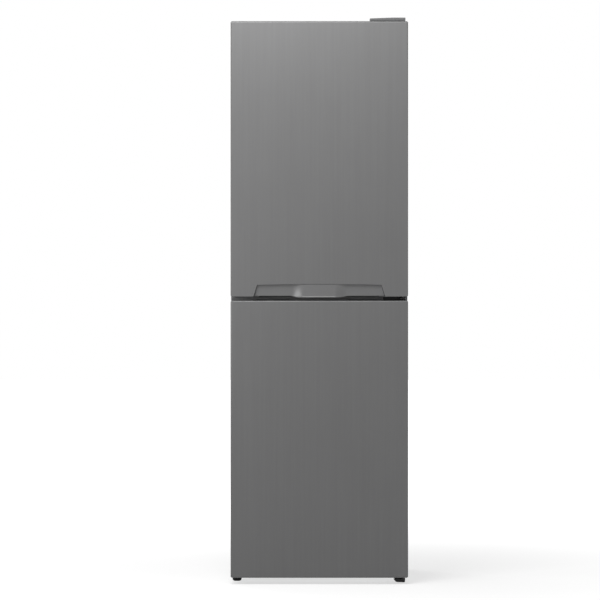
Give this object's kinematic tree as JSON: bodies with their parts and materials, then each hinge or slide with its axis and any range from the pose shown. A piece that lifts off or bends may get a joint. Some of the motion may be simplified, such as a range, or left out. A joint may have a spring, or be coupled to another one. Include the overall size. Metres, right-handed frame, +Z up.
{
  "type": "bottom freezer refrigerator",
  "caption": "Free-standing refrigerator above a freezer, two flat steel doors hinged on the right, with a grip moulded into the lower edge of the upper door.",
  "frame": {"origin": "on the floor, under the middle of the overall width and the overall depth", "axes": "+Z up, -Y to the front (the doors), +X towards the hinge side"},
  "size_m": [0.545, 0.6, 1.741],
  "materials": {
    "door_steel": "satin gray steel, finely brushed",
    "grip_plastic": "silver gray plated plastic, satin",
    "gray_plastic": "dark gray moulded plastic",
    "cabinet_steel": "gray painted sheet",
    "zinc_steel": "zinc-coated sheet, dull",
    "black_steel": "black painted steel",
    "white_plastic": "white moulded plastic, semi-gloss",
    "gray_rubber": "soft gray vinyl seal",
    "foam": "rigid insulation foam, hidden",
    "clear_plastic": "clear moulded plastic",
    "frost_plastic": "translucent moulded plastic",
    "shelf_glass": "toughened clear glass",
    "white_steel": "white coated steel tube and wire",
    "copper": "dull copper",
    "black_plastic": "black moulded plastic"
  },
  "bodies": {
    "cabinet": {"side_panel_left": "cabinet_steel", "side_panel_right": "cabinet_steel", "top_panel": "cabinet_steel", "middle_rail": "cabinet_steel", "base_pan": "zinc_steel", "rear_panel": "zinc_steel", "cabinet_foam": "foam", "drain_tube": "gray_rubber", "fridge_liner": "white_plastic", "freezer_liner": "white_plastic", "top_hinge": "zinc_steel", "top_hinge_cover": "gray_plastic", "middle_hinge": "zinc_steel", "bottom_hinge": "black_steel", "compressor_plate": "zinc_steel", "compressor": "black_steel", "terminal_box": "black_plastic", "evaporation_tray": "black_plastic", "suction_pipe": "copper", "filter_drier": "copper", "condenser": "black_steel", "glass_shelf_1": "shelf_glass", "glass_shelf_2": "shelf_glass", "glass_shelf_3": "shelf_glass", "crisper_cover": "shelf_glass", "shelf_trim_1": "grip_plastic", "shelf_trim_2": "grip_plastic", "shelf_trim_3": "grip_plastic", "control_housing": "white_plastic", "lamp_lens": "frost_plastic", "evaporator_shelf_1": "white_steel", "evaporator_shelf_2": "white_steel", "evaporator_shelf_3": "white_steel"},
    "fridge_door": {"fridge_door_tray": "door_steel", "fridge_door_top_cap": "gray_plastic", "fridge_door_bottom_cap": "gray_plastic", "fridge_door_foam": "foam", "fridge_door_liner": "white_plastic", "fridge_door_gasket": "gray_rubber", "door_grip": "grip_plastic", "bottle_rack": "clear_plastic", "middle_rack": "clear_plastic", "top_rack": "clear_plastic"},
    "freezer_door": {"freezer_door_tray": "door_steel", "freezer_door_top_cap": "gray_plastic", "freezer_door_bottom_cap": "gray_plastic", "freezer_door_foam": "foam", "freezer_door_liner": "white_plastic", "freezer_door_gasket": "gray_rubber"},
    "drawer_1": {"freezer_drawer_1": "frost_plastic"},
    "drawer_2": {"freezer_drawer_2": "frost_plastic"},
    "drawer_3": {"freezer_drawer_3": "frost_plastic"},
    "drawer_4": {"freezer_drawer_4": "frost_plastic"},
    "crisper": {"crisper_drawer": "clear_plastic"},
    "knob": {"thermostat_knob": "white_plastic"},
    "button": {"light_button": "white_plastic"},
    "foot_left": {"front_foot_left": "black_plastic"},
    "foot_right": {"front_foot_right": "black_plastic"},
    "wheel_left": {"roller_left": "black_plastic"},
    "wheel_right": {"roller_right": "black_plastic"}
  },
  "joints": [
    {"name": "fridge_door_swing", "type": "hinge", "parent": "cabinet", "child": "fridge_door", "pos_m": [0.2555, -0.271, 1.72], "axis": [0, 0, 1], "range_deg": [0, 115]},
    {"name": "freezer_door_swing", "type": "hinge", "parent": "cabinet", "child": "freezer_door", "pos_m": [0.2555, -0.271, 0.03], "axis": [0, 0, 1], "range_deg": [0, 115]},
    {"name": "drawer_1_slide", "type": "slide", "parent": "cabinet", "child": "drawer_1", "axis": [0, -1, 0], "range_m": [0, 0.034]},
    {"name": "drawer_2_slide", "type": "slide", "parent": "cabinet", "child": "drawer_2", "axis": [0, -1, 0], "range_m": [0, 0.034]},
    {"name": "drawer_3_slide", "type": "slide", "parent": "cabinet", "child": "drawer_3", "axis": [0, -1, 0], "range_m": [0, 0.034]},
    {"name": "drawer_4_slide", "type": "slide", "parent": "cabinet", "child": "drawer_4", "axis": [0, -1, 0], "range_m": [0, 0.034]},
    {"name": "crisper_slide", "type": "slide", "parent": "cabinet", "child": "crisper", "axis": [0, -1, 0], "range_m": [0, 0.024]},
    {"name": "thermostat_turn", "type": "hinge", "parent": "cabinet", "child": "knob", "pos_m": [-0.062, -0.15, 1.643], "axis": [0, 0, 1], "range_deg": [0, 270]},
    {"name": "light_button_slide", "type": "slide", "parent": "cabinet", "child": "button", "axis": [0, -1, 0], "range_m": [0, 0.004]},
    {"name": "foot_left_turn", "type": "hinge", "parent": "cabinet", "child": "foot_left", "pos_m": [-0.255, -0.168, 0], "axis": [0, 0, 1], "continuous": true},
    {"name": "foot_right_turn", "type": "hinge", "parent": "cabinet", "child": "foot_right", "pos_m": [0.2475, -0.205, 0], "axis": [0, 0, 1], "continuous": true},
    {"name": "wheel_left_roll", "type": "hinge", "parent": "cabinet", "child": "wheel_left", "pos_m": [-0.2405, 0.234, 0.01365], "axis": [1, 0, 0], "continuous": true},
    {"name": "wheel_right_roll", "type": "hinge", "parent": "cabinet", "child": "wheel_right", "pos_m": [0.2405, 0.234, 0.01365], "axis": [1, 0, 0], "continuous": true}
  ],
  "couplings": [
    {"joint": "light_button_slide", "follows": "fridge_door_swing", "m_per_rad": 0.00199}
  ]
}
